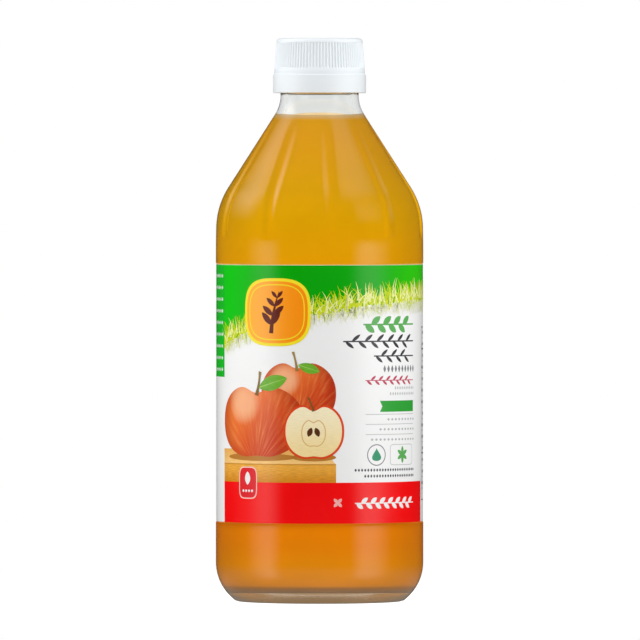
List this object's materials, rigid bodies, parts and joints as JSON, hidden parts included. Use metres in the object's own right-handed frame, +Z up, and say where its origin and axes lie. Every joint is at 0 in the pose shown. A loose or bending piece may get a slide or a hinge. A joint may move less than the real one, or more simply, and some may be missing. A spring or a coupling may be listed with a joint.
{
  "type": "vinegar bottle",
  "caption": "Clear glass bottle of amber cider vinegar with a fluted sloping shoulder, a wrap-round printed label and a ribbed white screw cap above its tamper band.",
  "frame": {"origin": "centre of the bottle's footprint, on the surface that it stands on", "axes": "+Z up along the bottle, -Y towards the middle of the label's front, +X to the right as seen from the front"},
  "size_m": [0.0694, 0.0694, 0.1884],
  "materials": {
    "clear_glass": "clear smooth bottle glass",
    "amber_vinegar": "cloudy golden amber liquid",
    "label_film": "satin printed film, green above, white in the middle and red at the foot",
    "white_plastic": "satin moulded white polypropylene"
  },
  "bodies": {
    "root": {"glass_bottle": "clear_glass", "vinegar": "amber_vinegar", "label": "label_film", "cap": "white_plastic", "tamper_band": "white_plastic"}
  },
  "joints": []
}
